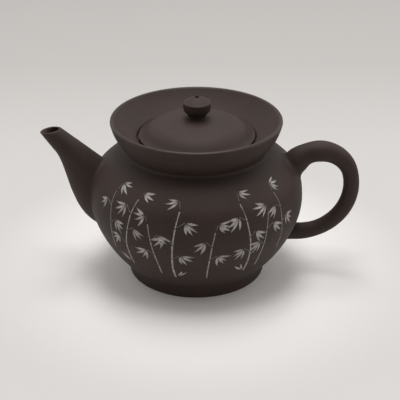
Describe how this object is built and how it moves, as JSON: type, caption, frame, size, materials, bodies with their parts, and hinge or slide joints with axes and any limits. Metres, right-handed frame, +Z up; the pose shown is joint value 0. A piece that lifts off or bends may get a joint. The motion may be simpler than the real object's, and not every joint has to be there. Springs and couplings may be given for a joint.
{
  "type": "clay teapot",
  "caption": "Unglazed stoneware teapot with a round belly, wide flared collar, sunken domed lid with a button knob, curved spout and ear-shaped handle.",
  "frame": {"origin": "middle of the foot ring, on the plane it rests on", "axes": "+Z up, -X towards the spout, +X towards the handle, -Y is the side seen in the picture"},
  "size_m": [0.1615, 0.1082, 0.0944],
  "materials": {
    "foot_ring": "unglazed, fine grained, satin",
    "base_disc": "unglazed, fine grained, satin",
    "belly_wall": "unglazed, fine grained, satin",
    "shoulder_disc": "unglazed, fine grained, satin",
    "collar": "unglazed, fine grained, satin",
    "lid_seat": "unglazed, fine grained, satin",
    "spout": "unglazed, fine grained, satin",
    "handle": "unglazed, fine grained, satin",
    "lid_disc": "unglazed, fine grained, satin",
    "lid_flange": "unglazed, fine grained, satin",
    "knob": "unglazed, fine grained, satin"
  },
  "bodies": {
    "pot": {"foot_ring": "foot_ring", "base_disc": "base_disc", "belly_wall": "belly_wall", "shoulder_disc": "shoulder_disc", "collar": "collar", "lid_seat": "lid_seat", "spout": "spout", "handle": "handle"},
    "lid": {"lid_disc": "lid_disc", "lid_flange": "lid_flange", "knob": "knob"}
  },
  "joints": [
    {"name": "lid_lift", "type": "slide", "parent": "pot", "child": "lid", "axis": [0, 0, 1], "range_m": [0, 0.04]}
  ]
}
